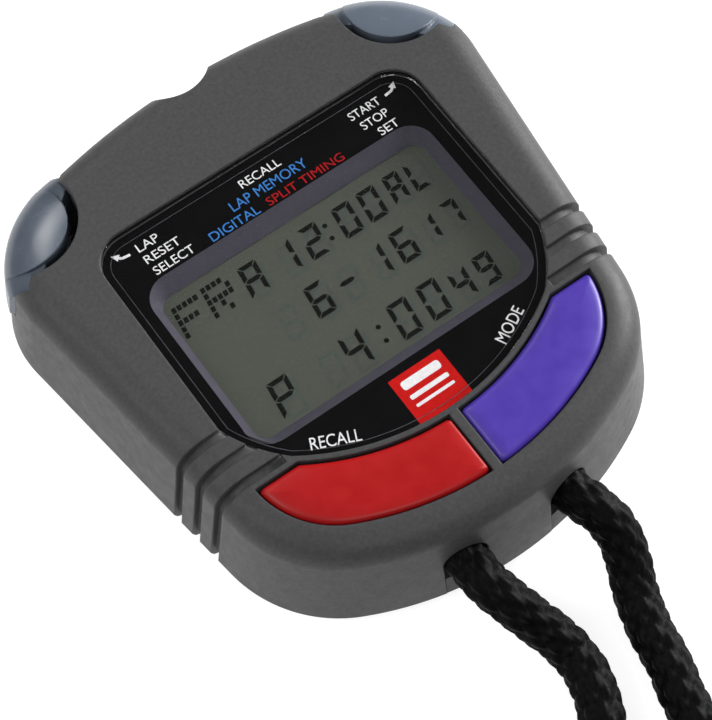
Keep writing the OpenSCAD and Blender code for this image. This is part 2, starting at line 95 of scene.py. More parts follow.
def smooth_path(points, step):
    """A Catmull-Rom curve through points, as points that lie step apart along it."""
    points = [Vector(p) for p in points]
    padded = [2 * points[0] - points[1], *points, 2 * points[-1] - points[-2]]
    curve = []
    for a, b, c, d in zip(padded, padded[1:], padded[2:], padded[3:]):
        square = 2 * a - 5 * b + 4 * c - d
        cube = 3 * b - a - 3 * c + d
        for i in range(CURVE_STEPS):
            t = i / CURVE_STEPS
            curve.append(0.5 * (2 * b + (c - a) * t + square * t * t + cube * t ** 3))
    path = [curve[0]]
    left = step
    for a, b in zip(curve, [*curve[1:], points[-1]]):
        gap = (b - a).length
        while left <= gap:
            path.append(a.lerp(b, left / gap))
            left += step
        left -= gap
    return path


# ---------------------------------------------------------------- meshes

# Degrees: only corners sharper than this are bevelled
BEVEL_ANGLE = 35


def mesh_object(name, vertices, faces):
    """A mesh object from points in millimetres."""
    mesh = bpy.data.meshes.new(name)
    mesh.from_pydata([[c * MM for c in v] for v in vertices], [], faces)
    made = bpy.data.objects.new(name, mesh)
    bpy.context.scene.collection.objects.link(made)
    return made


def ring_faces(starts, size):
    """Faces between rings of size points, whose first points have the numbers in starts."""
    return [
        (low + i, low + (i + 1) % size, high + (i + 1) % size, high + i)
        for low, high in zip(starts, starts[1:])
        for i in range(size)
    ]


def loft(name, rings):
    """A closed skin through rings of equal numbers of points, with a face at each end.

    Seen from the last ring the rings turn left, so that the faces look outwards.
    """
    size = len(rings[0])
    vertices = [p for ring in rings for p in ring]
    starts = range(0, len(vertices), size)
    faces = ring_faces(starts, size)
    faces += [tuple(reversed(range(size))), tuple(range(starts[-1], starts[-1] + size))]
    return mesh_object(name, vertices, faces)


def closed_loft(name, rings):
    """The same through rings that come round to the first one again, with no end faces."""
    size = len(rings[0])
    vertices = [p for ring in rings for p in ring]
    return mesh_object(name, vertices, ring_faces([*range(0, len(vertices), size), 0], size))


def level(points, z):
    return [(x, y, z) for x, y in points]


def prism(name, points, low, high):
    return loft(name, [level(points, low), level(points, high)])


def rectangle(low, high):
    return [(low[0], low[1]), (high[0], low[1]), (high[0], high[1]), (low[0], high[1])]


def rounded_rectangle(mid, size, r):
    reach = (size[0] / 2 - r, size[1] / 2 - r)
    corners = [(1, 1, 0), (-1, 1, 90), (-1, -1, 180), (1, -1, 270)]
    return [
        p
        for sx, sy, start in corners
        for p in arc((mid[0] + sx * reach[0], mid[1] + sy * reach[1]), r, start, start + 90, 8)
    ]


def circle(mid, r, steps=64):
    return arc(mid, r, 0, 360 - 360 / steps, steps - 1)


def rounded_edge(start, width, height, step):
    """A quarter of an ellipse that rises by height from start while it comes in by width."""
    return [
        (
            start[0] - width * (1 - math.cos(math.radians(a))),
            start[1] + height * math.sin(math.radians(a)),
        )
        for a in range(0, 91, step)
    ]


def placed(piece, matrix):
    """piece with its mesh moved by a matrix whose shift is in millimetres."""
    matrix = matrix.copy()
    matrix.translation *= MM
    piece.data.transform(matrix)
    if matrix.determinant() < 0:
        piece.data.flip_normals()
    return piece


def combined(base, operation, tools):
    """base after the same boolean operation with each of the tools, which are then removed."""
    for tool in tools:
        change = base.modifiers.new(operation, "BOOLEAN")
        change.operation = operation
        change.solver = "MANIFOLD"
        change.object = tool
    graph = bpy.context.evaluated_depsgraph_get()
    mesh = bpy.data.meshes.new_from_object(base.evaluated_get(graph))
    base.modifiers.clear()
    base.data = mesh
    for tool in tools:
        bpy.data.objects.remove(tool)
    return base


def smoothed(piece, degrees):
    """piece with smooth faces, and sharp edges where its faces meet at more than this angle."""
    piece.data.shade_smooth()
    piece.data.set_sharp_from_angle(angle=math.radians(degrees))
    weigh = piece.modifiers.new("weighted_normals", "WEIGHTED_NORMAL")
    weigh.keep_sharp = True
    return piece


def bevelled(piece, width, segments):
    """piece with its sharp edges rounded."""
    bevel = piece.modifiers.new("edges", "BEVEL")
    bevel.width = width * MM
    bevel.segments = segments
    bevel.limit_method = "ANGLE"
    bevel.angle_limit = math.radians(BEVEL_ANGLE)
    return smoothed(piece, 50)


def assign(piece, material, body, slot, *nodes):
    """Give piece its material and its body, in place of some CAD nodes. The slot is not used."""
    piece.data.materials.clear()
    piece.data.materials.append(material)
    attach(piece, body)
    if nodes:
        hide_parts(*nodes)


# ---------------------------------------------------------------- materials

# Most of the noise lies between these two values
LOW_NOISE = 0.3
HIGH_NOISE = 0.7


class Surface:
    """A Principled material, and short ways to vary its colour, gloss and height."""

    def __init__(self, name, colour, roughness, **sockets):
        self.material = bpy.data.materials.new(name)
        self.material.use_nodes = True
        self.tree = self.material.node_tree
        self.shader = self.tree.nodes["Principled BSDF"]
        self.colour = (*colour, 1)
        self.shader.inputs["Base Color"].default_value = self.colour
        self.shader.inputs["Roughness"].default_value = roughness
        for socket, value in sockets.items():
            self.shader.inputs[socket.replace("_", " ")].default_value = value
        self.place = self.tree.nodes.new("ShaderNodeTexCoord").outputs["Object"]

    def link(self, start, end):
        self.tree.links.new(start, end)

    def noise(self, size):
        """Noise with features of about size millimetres."""
        node = self.tree.nodes.new("ShaderNodeTexNoise")
        node.inputs["Scale"].default_value = 1 / (size * MM)
        node.inputs["Detail"].default_value = 2
        self.link(self.place, node.inputs["Vector"])
        return node.outputs["Fac"]

    def ramp(self, value, *stops):
        """Colours or greys at positions along a value."""
        node = self.tree.nodes.new("ShaderNodeValToRGB")
        elements = node.color_ramp.elements
        while len(elements) < len(stops):
            elements.new(0.5)
        for element, (position, tone) in zip(elements, stops):
            element.position = position
            element.color = (*tone, 1) if isinstance(tone, tuple) else (tone, tone, tone, 1)
        self.link(value, node.inputs["Fac"])
        return node.outputs["Color"]

    def mottle(self, size, spread):
        """Colour that wanders by up to a share of spread about its mean."""
        dark = tuple(c * (1 - spread) for c in self.colour[:3])
        light = tuple(c * (1 + spread) for c in self.colour[:3])
        colour = self.ramp(self.noise(size), (LOW_NOISE, dark), (HIGH_NOISE, light))
        self.link(colour, self.shader.inputs["Base Color"])
        return self

    def gloss(self, size, spread):
        """Roughness that wanders by up to spread about its mean."""
        socket = self.shader.inputs["Roughness"]
        mean = socket.default_value
        stops = ((LOW_NOISE, mean - spread), (HIGH_NOISE, mean + spread))
        self.link(self.ramp(self.noise(size), *stops), socket)
        return self

    def grain(self, size, height, edge=0):
        """A fine bumpy skin, over edges that are softened by edge millimetres."""
        bump = self.tree.nodes.new("ShaderNodeBump")
        bump.inputs["Distance"].default_value = height * MM
        self.link(self.noise(size), bump.inputs["Height"])
        if edge:
            soft = self.tree.nodes.new("ShaderNodeBevel")
            soft.inputs["Radius"].default_value = edge * MM
            self.link(soft.outputs["Normal"], bump.inputs["Normal"])
        self.link(bump.outputs["Normal"], self.shader.inputs["Normal"])
        return self


case_skin = Surface("case_skin", (0.067, 0.067, 0.069), 0.43, Specular_IOR_Level=0.18)
case_skin.mottle(0.5, 0.12).gloss(1.5, 0.05).grain(0.16, 0.025, 0.35)
cover_skin = Surface("cover_skin", (0.058, 0.058, 0.06), 0.495, Specular_IOR_Level=0.18)
cover_skin.mottle(0.5, 0.12).gloss(1.5, 0.055).grain(0.16, 0.025)
button_skin = Surface("button_skin", (0.105, 0.127, 0.163), 0.24)
button_skin.mottle(3, 0.05).gloss(3, 0.04).grain(0.3, 0.002, 0.3)
red_skin = Surface("red_skin", (0.4, 0.006, 0.007), 0.4, Specular_IOR_Level=0.3)
red_skin.mottle(2, 0.04).gloss(2, 0.04).grain(0.2, 0.003)
purple_skin = Surface("purple_skin", (0.066, 0.031, 0.37), 0.42, Specular_IOR_Level=0.6)
purple_skin.mottle(2, 0.04).gloss(2, 0.04).grain(0.2, 0.003)
bezel_skin = Surface("bezel_skin", (0.037, 0.035, 0.047), 0.5, Specular_IOR_Level=0.1)
bezel_skin.mottle(1, 0.06).gloss(1, 0.05).grain(0.1, 0.004)
mask_skin = Surface("mask_skin", (0.002, 0.002, 0.0022), 0.6, Specular_IOR_Level=0)
mask_skin.mottle(4, 0.2).grain(0.3, 0.001)
white_ink = Surface("white_ink", (0.55, 0.55, 0.56), 0.5)
white_ink.mottle(0.4, 0.06).grain(0.2, 0.002)
blue_ink = Surface("blue_ink", (0.035, 0.14, 0.38), 0.5, Specular_IOR_Level=0)
blue_ink.mottle(0.4, 0.08).grain(0.2, 0.002)
# Painted highlight: a lighter line under the chamfer's foot stands for the light that the lens's
# edge catches
chamfer_highlight_ink = Surface("chamfer_highlight_ink", (0.06, 0.06, 0.07), 0.5, Specular_IOR_Level=0)
chamfer_highlight_ink.mottle(1, 0.3).grain(0.2, 0.002)
badge_ink = Surface("badge_ink", (0.36, 0.007, 0.006), 0.5, Specular_IOR_Level=0)
badge_ink.mottle(0.4, 0.06).grain(0.2, 0.002)
red_ink = Surface("red_ink", (0.24, 0.007, 0.008), 0.5, Specular_IOR_Level=0)
red_ink.mottle(0.4, 0.08).grain(0.2, 0.002)
lcd_skin = Surface("lcd_skin", (0.046, 0.05, 0.041), 0.45, Specular_IOR_Level=0)
lcd_skin.mottle(0.35, 0.07).grain(0.15, 0.002)
segment_ink = Surface("segment_ink", (0.002, 0.002, 0.0018), 0.45, Specular_IOR_Level=0)
segment_ink.mottle(0.3, 0.2).grain(0.2, 0.001)
# Partly the faint unlit bars, partly painted shadow that the bars cast on the reflector under the
# glass
unlit_and_shadow_ink = Surface("unlit_and_shadow_ink", (0.038, 0.046, 0.04), 0.45, Specular_IOR_Level=0)
unlit_and_shadow_ink.mottle(0.8, 0.08).grain(0.2, 0.001)
cord_skin = Surface("cord_skin", (0.0015, 0.0015, 0.0017), 0.51, Specular_IOR_Level=0.08)
cord_skin.mottle(0.6, 0.3).gloss(0.5, 0.09).grain(0.12, 0.03)
rubber_skin = Surface("rubber_skin", (0.02, 0.02, 0.02), 0.7)
rubber_skin.mottle(1, 0.15).gloss(1, 0.1).grain(0.3, 0.01)
silicone_skin = Surface("silicone_skin", (0.55, 0.55, 0.52), 0.525)
silicone_skin.mottle(2, 0.05).gloss(1, 0.075).grain(0.3, 0.004)
pink_silicone = Surface("pink_silicone", (0.5, 0.12, 0.18), 0.6)
pink_silicone.mottle(0.5, 0.15).gloss(1, 0.1).grain(0.2, 0.004)
tape_skin = Surface("tape_skin", (0.008, 0.008, 0.009), 0.5)
tape_skin.mottle(1, 0.2).grain(0.2, 0.003)
board_skin = Surface("board_skin", (0.02, 0.13, 0.05), 0.375)
board_skin.mottle(1.5, 0.3).gloss(1, 0.075).grain(0.8, 0.02)
steel_skin = Surface("steel_skin", (0.55, 0.56, 0.58), 0.31, Metallic=1)
steel_skin.mottle(1, 0.08).gloss(0.6, 0.09).grain(0.15, 0.004)
foil_skin = Surface("foil_skin", (0.5, 0.5, 0.46), 0.4, Metallic=1)
foil_skin.mottle(1, 0.1).gloss(0.4, 0.1).grain(0.2, 0.004)
brass_skin = Surface("brass_skin", (0.6, 0.43, 0.17), 0.32, Metallic=1)
brass_skin.mottle(1, 0.1).gloss(0.6, 0.1).grain(0.15, 0.004)
epoxy_skin = Surface("epoxy_skin", (0.008, 0.008, 0.008), 0.225)
epoxy_skin.mottle(2, 0.2).gloss(2, 0.075).grain(0.8, 0.01)
holder_skin = Surface("holder_skin", (0.015, 0.015, 0.016), 0.525)
holder_skin.mottle(1, 0.15).gloss(1, 0.075).grain(0.2, 0.01)
ceramic_skin = Surface("ceramic_skin", (0.4, 0.3, 0.18), 0.5)
ceramic_skin.mottle(0.4, 0.15).gloss(0.5, 0.1).grain(0.2, 0.004)


def clear_skin():
    """Clear acrylic that lets lamplight through to what lies under it."""
    made = Surface("lens_skin", (1, 1, 1), 0.02, Transmission_Weight=1, IOR=1.49)
    made.gloss(8, 0.01)
    nodes = made.tree.nodes
    through = nodes.new("ShaderNodeBsdfTransparent")
    rays = nodes.new("ShaderNodeLightPath")
    mix = nodes.new("ShaderNodeMixShader")
    made.link(rays.outputs["Is Shadow Ray"], mix.inputs["Fac"])
    made.link(made.shader.outputs["BSDF"], mix.inputs[1])
    made.link(through.outputs["BSDF"], mix.inputs[2])
    made.link(mix.outputs["Shader"], nodes["Material Output"].inputs["Surface"])
    return made


lens_skin = clear_skin()

# ---------------------------------------------------------------- lanyard

CORD_D = 5.2
COIL_MID = (-10, -104)
COIL_OUTER = 32.2
COIL_INNER = 19.8
LOWER_Z = 2.8
UPPER_Z = 8
# Degrees: where the coil starts, how far it turns, how much of that the climb takes, and its steps
COIL_START = 125.7
COIL_SWEEP = 4 * 360 + 273.4
CLIMB_SWEEP = 90
COIL_STEP = 15
# Crossings round the cord, their pitch along it, their depth, and the points across one of them
BRAID_COLUMNS = 8
BRAID_PITCH = 3.6
BRAID_DEPTH = 0.5
BRAID_STEPS = 6
# Powers that shape a strand: round across its width, and fuller along its length
STRAND_ACROSS = 0.9
STRAND_ALONG = 0.4

LEFT_ROUTE = [
    (-7.4, -33, 8.1), (-7.4, -36, 8.1), (-7.2, -39, 8), (-6.2, -42, 7), (-4.9, -45, 5.2),
    (-3.8, -47.5, 3.9), (-3.2, -50, 2.9), (-3.3, -53, 2.8), (-4.4, -56.5, 2.8), (-6.3, -60, 2.8),
    (-9.5, -64, 2.8), (-14, -67.5, 2.8), (-19.4, -70.6, 2.8), (-24.4, -74, 2.8),
]
RIGHT_ROUTE = [
    (7.4, -33, 8.1), (7.6, -36, 8.1), (8.6, -39, 7.9), (9.2, -42, 6.6), (8.7, -45, 4.8),
    (7.3, -48.5, 3.2), (5.9, -53, 2.8), (5.1, -57.5, 2.8), (3.8, -62, 2.8), (3.4, -66.5, 3),
    (5.3, -70.8, 3.6), (8.4, -75, 5), (11.8, -79.4, 7),
]


def coil_points():
    """The stored turns: inwards on the lower layer, up, and outwards on the upper layer."""
    count = round(COIL_SWEEP / COIL_STEP)
    points = []
    for i in range(count + 1):
        t = i / count
        r = COIL_INNER + (COIL_OUTER - COIL_INNER) * abs(2 * t - 1)
        climb = min(1, max(0, (t - 0.5) * COIL_SWEEP / CLIMB_SWEEP + 0.5))
        z = LOWER_Z + (UPPER_Z - LOWER_Z) * climb * climb * (3 - 2 * climb)
        x, y = polar(COIL_MID, r, COIL_START + COIL_SWEEP * t)
        points.append((x, y, z))
    return points


def braid_height(a, b):
    """Height of a plain braid, from 0 to 1, at a strands of one set and b strands of the other."""
    p = math.cos(math.pi * (a % 1 - 0.5))
    q = math.cos(math.pi * (b % 1 - 0.5))
    if (math.floor(a) + math.floor(b)) % 2:
        p, q = q, p
    return p ** STRAND_ACROSS * q ** STRAND_ALONG


def braided_cord(name, path):
    """A round cord along path whose surface is a braid of crossing strands.

    path needs BRAID_STEPS points to each BRAID_PITCH of its length.
    """
    sides = BRAID_STEPS * BRAID_COLUMNS
    rings = []
    side = Vector((1, 0, 0))
    for i, point in enumerate(path):
        ahead = (path[min(i + 1, len(path) - 1)] - path[max(i - 1, 0)]).normalized()
        side = (side - side.dot(ahead) * ahead).normalized()
        up = ahead.cross(side)
        ring = []
        for k in range(sides):
            turn = 2 * math.pi * k / sides
            height = braid_height((k + i) / BRAID_STEPS, (k - i) / BRAID_STEPS)
            r = CORD_D / 2 + BRAID_DEPTH * (height - 0.5)
            ring.append(point + r * (math.cos(turn) * side + math.sin(turn) * up))
        rings.append(ring)
    cord = loft(name, rings)
    cord.data.shade_smooth()
    return cord


def add_lanyard():
    points = [*LEFT_ROUTE, *coil_points(), *reversed(RIGHT_ROUTE)]
    path = smooth_path(points, BRAID_PITCH / BRAID_STEPS)
    lanyard = braided_cord("lanyard", path)
    assign(
        lanyard, cord_skin.material, "watch", "cord",
        "lanyard_left_strand", "lanyard_right_strand", "lanyard_coil",
    )


add_lanyard()

# ---------------------------------------------------------------- outlines of the watch

CASE_W = 69.4
CASE_L = 73.2
CASE_H = 17
WALL_DRAFT = math.tan(math.radians(7.8))
FOOT_Z = 1.5
SHOULDER_W = 4.2
SHOULDER_H = 3.8
SHOULDER_Z = CASE_H - SHOULDER_H
SHOULDER_INSET = WALL_DRAFT * (SHOULDER_Z - FOOT_Z)
SKIN_T = 2
SIDE_TILT = 7.7
BOTTOM_R = 45.2
BOTTOM_CORNER_R = 17.7
TOP_R = 85
TOP_CORNER_R = 14


def along_side(point):
    """Distance of a point from the origin, measured square to the right side."""
    tilt = math.radians(SIDE_TILT)
    return point[0] * math.cos(tilt) - point[1] * math.sin(tilt)


BOTTOM_MID = (0, BOTTOM_R - CASE_L / 2)
TOP_MID = (0, CASE_L / 2 - TOP_R)
TOP_SWING = math.degrees(math.asin((CASE_W / 2 - TOP_CORNER_R) / (TOP_R - TOP_CORNER_R)))
TOP_CORNER = polar(TOP_MID, TOP_R - TOP_CORNER_R, 90 - TOP_SWING)
SIDE_REACH = along_side(TOP_CORNER) + TOP_CORNER_R
BOTTOM_SWING = math.degrees(math.asin(
    (SIDE_REACH - BOTTOM_CORNER_R - along_side(BOTTOM_MID)) / (BOTTOM_R - BOTTOM_CORNER_R)
)) - SIDE_TILT
BOTTOM_CORNER = polar(BOTTOM_MID, BOTTOM_R - BOTTOM_CORNER_R, BOTTOM_SWING - 90)


def case_outline(grow):
    """The case's outline where it is widest, moved out by grow."""
    right = [
        *arc(BOTTOM_MID, BOTTOM_R + grow, -90, BOTTOM_SWING - 90, 16)[:-1],
        *arc(BOTTOM_CORNER, BOTTOM_CORNER_R + grow, BOTTOM_SWING - 90, -SIDE_TILT, 24),
        *arc(TOP_CORNER, TOP_CORNER_R + grow, -SIDE_TILT, 90 - TOP_SWING, 24)[:-1],
        *arc(TOP_MID, TOP_R + grow, 90 - TOP_SWING, 90, 12),
    ]
    return [*right, *mirrored(right)[1:-1]]


GROOVE_TOP_Y = -8.25
GROOVE_COUNT = 3
GROOVE_PITCH = 3.3
GROOVE_W = 1.3
GROOVE_D = 0.8
LENS_HALF = 23.1
LENS_TOP_Y = 20.05
LENS_ARC_MID = (0, 10.6)
LENS_ARC_R = 32.05
LENS_FOOT_X = 18.2
LENS_SIDE_R = 20
LENS_CORNER_R = 4.2
LENS_TOP = 16.85
LENS_BOTTOM = 15.05
LENS_SEAT = 14.95


def arc_between(p, q, r, steps):
    """An arc of radius r from p to q that turns left."""
    p, q = Vector(p), Vector(q)
    half = (q - p) / 2
    left = Vector((-half.y, half.x)).normalized()
    mid = p + half + left * math.sqrt(r * r - half.length_squared)
    start = math.degrees(math.atan2(p.y - mid.y, p.x - mid.x))
    return arc(mid, r, start, start + 2 * math.degrees(math.asin(half.length / r)), steps)


def lens_outline(grow):
    """The lens's outline, moved out by grow: a long arc, bowed sides and two rounded corners."""
    foot_y = LENS_ARC_MID[1] - math.sqrt(LENS_ARC_R ** 2 - LENS_FOOT_X ** 2)
    foot_a = math.degrees(math.atan2(foot_y - LENS_ARC_MID[1], LENS_FOOT_X))
    foot = polar(LENS_ARC_MID, LENS_ARC_R + grow, foot_a)
    corner = (LENS_HALF - LENS_CORNER_R, LENS_TOP_Y - LENS_CORNER_R)
    right = [
        *arc(LENS_ARC_MID, LENS_ARC_R + grow, -90, foot_a, 24)[:-1],
        *arc_between(foot, (LENS_HALF + grow, GROOVE_TOP_Y), LENS_SIDE_R, 10),
        *arc(corner, LENS_CORNER_R + grow, 0, 90, 12),
    ]
    return [*right, *mirrored(right)[:-1]]


KEY_INNER_R = LENS_ARC_R + 1
KEY_INSET = 6.1
KEY_GAP = 0.75
KEY_TOP_Y = -17.05
KEY_CLEAR = 0.25
KEY_PROUD = 0.3
KEY_FLANGE_Z = CASE_H - SKIN_T - 0.1
# Share of an outline's growth that goes towards the other key, so that both flanges stay apart
KEY_GAP_SHARE = 0.6


def key_outline(grow):
    """The right key: two outer arcs, a level top and an inner arc along the lens."""
    outer_r = BOTTOM_R - KEY_INSET + grow
    corner_r = BOTTOM_CORNER_R - KEY_INSET + grow
    inner_r = KEY_INNER_R - grow
    left = KEY_GAP - KEY_GAP_SHARE * grow
    top = KEY_TOP_Y + grow
    tip = math.degrees(math.asin((top - BOTTOM_CORNER[1]) / corner_r))
    inner = math.degrees(math.asin((top - LENS_ARC_MID[1]) / inner_r))
    outer_end = -math.degrees(math.acos(left / outer_r))
    inner_end = -math.degrees(math.acos(left / inner_r))
    return [
        *arc(BOTTOM_MID, outer_r, outer_end, BOTTOM_SWING - 90, 16)[:-1],
        *arc(BOTTOM_CORNER, corner_r, BOTTOM_SWING - 90, tip, 16),
        *arc(LENS_ARC_MID, inner_r, inner, inner_end, 20),
    ]


MIRROR_X = Matrix.Scale(-1, 4, (1, 0, 0))
BOTH_SIDES = (Matrix.Identity(4), MIRROR_X)

# ---------------------------------------------------------------- case

# How far a cutter, or a piece that is cut back later, reaches past its bounds
BEYOND = 1
# How far pieces that join run into one another
OVERLAP = 0.01
# How far the wall stands out, and at what height, at the foot of the case
FOOT = ((-1.2, 0), (-0.4, 0.5), (0, FOOT_Z))
# A narrow level ring beside the rounded shoulder, which keeps the shading of both clean
TOP_RING_W = 0.3


def case_body(name, inset):
    """The closed outer form of the case, moved in by inset all over."""
    shoulder = rounded_edge((-SHOULDER_INSET, SHOULDER_Z - inset), SHOULDER_W, SHOULDER_H, 6)
    top_grow, top_z = shoulder[-1]
    profile = [*FOOT, *shoulder, (top_grow - TOP_RING_W, top_z)]
    return loft(name, [level(case_outline(grow - inset), z) for grow, z in profile])


# In a button's own axes X points out over the corner, and the stem reaches in from the cap
BUTTON_SPOT = (27.8, 28.65)
BUTTON_R = 6.1
BUTTON_AXIS = (-13.3, -0.75)
BUTTON_FACE_R = 15
BUTTON_BOTTOM = 8.7
BUTTON_CROWN_Z = 12.2
BUTTON_CROWN_W = 8.2
BUTTON_TOP = CASE_H - 0.6
EAR_TOP = CASE_H - 1.3
EAR_HALF = 8.3
EAR_BACK = -4.4
EAR_ROOF = EAR_TOP - 0.15
EAR_SIGHT = -3.4
STEM_Z = 11.6
STEM_R = 1.2
STEM_FIT = 0.05
STEM_END = 13.5
BOSS_R = 2.7
BOSS_IN = 12
SPRING_BORE_R = 2.3
WELL_R = BUTTON_R + 1.4
POCKET_HALF = EAR_HALF + 0.2
POCKET_BACK = EAR_BACK - 0.9
POCKET_FLOOR = BUTTON_BOTTOM - 0.3
POCKET_WALL = 1.4

AT_BUTTON = Matrix.Translation((*BUTTON_SPOT, 0)) @ Matrix.Rotation(math.radians(45), 4, "Z")
BUTTON_PLACES = (AT_BUTTON, MIRROR_X @ AT_BUTTON)


def stem_solid(name, r, start, end):
    """A cylinder along a button's stem, in the button's own axes."""
    solid = prism(name, circle((0, 0), r, 48), start, end)
    turn = Matrix.Rotation(math.radians(-90), 4, "Y")
    return placed(solid, Matrix.Translation((0, 0, STEM_Z)) @ turn)


def corner_box(name, back, half, low, high):
    """A box that reaches out over the corner from back, in a button's own axes."""
    return prism(name, rectangle((back, -half), (CASE_W, half)), low, high)


def well(r, low):
    """A round column about the middle of a button's cap, in the button's own axes."""
    return prism("well", circle((0, 0), r), low, CASE_H + BEYOND)


SCREW_SPOTS = [(-13, 29.6), (13, 29.6), (-24.4, -13), (24.4, -13)]
SCREW_BOSS_R = 2.4
SCREW_HOLE_R = 0.9
SCREW_HOLE_TOP = 8.3
BOARD_SCREW_SPOTS = [(-23.6, -5.5), (23.6, -5.5), (-23.6, 8.5), (23.6, 8.5)]
BOARD_POST_R = 1.7
BOARD_TOP = 8.8
LEDGE_Z = 2.3
LEDGE_INSET = 2.2
CAVITY_INSET = 3.8
INNER_MARGIN = 0.4
LENS_FIT = 0.1
LENS_SEAT_W = 0.9
LENS_SEAT_T = 1.2
LENS_HOLE_INSET = 1.6
CORD_X = 7.4
CORD_Z = 8.1
HOLE_R = 2.9
HOLE_LENGTH = 8
SLOT_LENGTH = 7
PIN_Y = -30.9
PIN_HOLE_R = 2
PIN_HOLE_DEPTH = 0.9
CHAMBER_HALF = CORD_X + HOLE_R + 0.25
CHAMBER_Y = (-33.2, -22.4)
CHAMBER_TOP = CORD_Z + HOLE_R + 0.35
CHAMBER_WALL = 1.2
NOTCH_MID = (-0.65, 37.6)
NOTCH_R = 5.2
NOTCH_FLOOR = 4


def notch_column(name, r, low):
    """A column that leans with the wall, for the notch in the case's upper edge."""
    column = prism(name, circle((0, 0), r), low - SHOULDER_Z, CASE_H)
    lean = Matrix.Rotation(math.atan(WALL_DRAFT), 4, "X")
    return placed(column, Matrix.Translation((*NOTCH_MID, SHOULDER_Z)) @ lean)


def inner_structure():
    """What stands inside the shell: pockets, bosses, the lens's seat and the lanyard's chamber."""
    parts = []
    for place in BUTTON_PLACES:
        low = POCKET_FLOOR - POCKET_WALL
        half = POCKET_HALF + POCKET_WALL
        shell = [
            well(WELL_R + POCKET_WALL, low),
            corner_box("shell", POCKET_BACK - POCKET_WALL, half, low, CASE_H + BEYOND),
            stem_solid("boss", BOSS_R, WELL_R, BOSS_IN),
        ]
        parts += [placed(piece, place) for piece in shell]
    seat = lens_outline(LENS_SEAT_W)
    parts.append(prism("seat", seat, LENS_SEAT - LENS_SEAT_T, CASE_H - SKIN_T + OVERLAP))
    for spot in SCREW_SPOTS:
        parts.append(prism("boss", circle(spot, SCREW_BOSS_R, 32), LEDGE_Z, CASE_H))
    for spot in BOARD_SCREW_SPOTS:
        parts.append(prism("post", circle(spot, BOARD_POST_R, 32), BOARD_TOP, CASE_H - SKIN_T / 2))
    half = CHAMBER_HALF + CHAMBER_WALL
    block = rectangle((-half, -CASE_L), (half, CHAMBER_Y[1] + CHAMBER_WALL))
    parts.append(prism("block", block, LEDGE_Z, CHAMBER_TOP + CHAMBER_WALL))
    parts.append(notch_column("notch_wall", NOTCH_R + SKIN_T, NOTCH_FLOOR - SKIN_T))
    whole = combined(parts[0], "UNION", parts[1:])
    return combined(whole, "INTERSECT", [case_body("limit", INNER_MARGIN)])


def groove_cutters():
    """Bands from under the lens across each side, less a smaller case for an even depth."""
    cutters = []
    for side in BOTH_SIDES:
        for i in range(GROOVE_COUNT):
            low = GROOVE_TOP_Y - i * GROOVE_PITCH - GROOVE_W
            outline = rectangle((LENS_HALF - 4, low), (CASE_W, low + GROOVE_W))
            band = placed(prism("groove", outline, -BEYOND, CASE_H + BEYOND), side)
            cutters.append(combined(band, "DIFFERENCE", [case_body("floor", GROOVE_D)]))
    return cutters


def lanyard_cutters():
    """The lanyard's chamber, its two holes with the slots below them, and the hole for its pin."""
    front, back = CHAMBER_Y
    chamber = rectangle((-CHAMBER_HALF, front), (CHAMBER_HALF, back))
    cutters = [prism("chamber", chamber, -BEYOND, CHAMBER_TOP)]
    turn = Matrix.Rotation(math.radians(90), 4, "X")
    for x in (-CORD_X, CORD_X):
        bore = prism("bore", circle((0, 0), HOLE_R, 48), 0, HOLE_LENGTH)
        cutters.append(placed(bore, Matrix.Translation((x, front + BEYOND, CORD_Z)) @ turn))
        slot = rectangle((x - HOLE_R, front - SLOT_LENGTH), (x + HOLE_R, front + BEYOND))
        cutters.append(prism("slot", slot, -BEYOND, CORD_Z))
    pin_hole = circle((0, PIN_Y), PIN_HOLE_R, 32)
    pin_hole_top = CHAMBER_TOP + PIN_HOLE_DEPTH
    cutters.append(prism("pin_hole", pin_hole, CHAMBER_TOP - OVERLAP, pin_hole_top))
    return cutters


def add_case():
    """The front shell: hollowed, given its inner structure, and then cut for all that it holds."""
    case = case_body("case", 0)
    cavity = prism("cavity", case_outline(-CAVITY_INSET), -BEYOND, CASE_H - SKIN_T)
    combined(case, "DIFFERENCE", [cavity])
    combined(case, "UNION", [inner_structure()])
    cutters = [prism("ledge", case_outline(-LEDGE_INSET), -BEYOND, LEDGE_Z)]
    cutters.append(notch_column("notch", NOTCH_R, NOTCH_FLOOR))
    cutters += groove_cutters()
    for place in BUTTON_PLACES:
        pocket = [
            well(WELL_R, POCKET_FLOOR),
            corner_box("open_pocket", EAR_SIGHT, POCKET_HALF, POCKET_FLOOR, CASE_H + BEYOND),
            corner_box("roofed_pocket", POCKET_BACK, POCKET_HALF, POCKET_FLOOR, EAR_ROOF),
            stem_solid("stem_bore", STEM_R + STEM_FIT, WELL_R - BEYOND, BOSS_IN + 6),
        ]
        cutters += [placed(piece, place) for piece in pocket]
    cutters.append(prism("lens_pocket", lens_outline(LENS_FIT), LENS_SEAT, CASE_H + BEYOND))
    lens_hole = lens_outline(-LENS_HOLE_INSET)
    cutters.append(prism("lens_hole", lens_hole, LENS_SEAT - LENS_SEAT_T - BEYOND, CASE_H))
    for side in BOTH_SIDES:
        key_hole = prism("key_hole", key_outline(KEY_CLEAR), SHOULDER_Z, CASE_H + BEYOND)
        cutters.append(placed(key_hole, side))
    for spot in SCREW_SPOTS:
        outline = circle(spot, SCREW_HOLE_R, 24)
        cutters.append(prism("screw_hole", outline, LEDGE_Z - BEYOND, SCREW_HOLE_TOP))
    cutters += lanyard_cutters()
    combined(case, "DIFFERENCE", cutters)
    assign(smoothed(case, 28), case_skin.material, "watch", "case", "front_case")


add_case()

# ---------------------------------------------------------------- corner buttons

BAND_INNER_R = 3
# Start and end of two recesses along the stem
SPRING_BORE = (1.5, WELL_R + 1.5)
CLIP_GROOVE = (BOSS_IN + 0.15, BOSS_IN + 0.65)
CLIP_GROOVE_D = 0.4


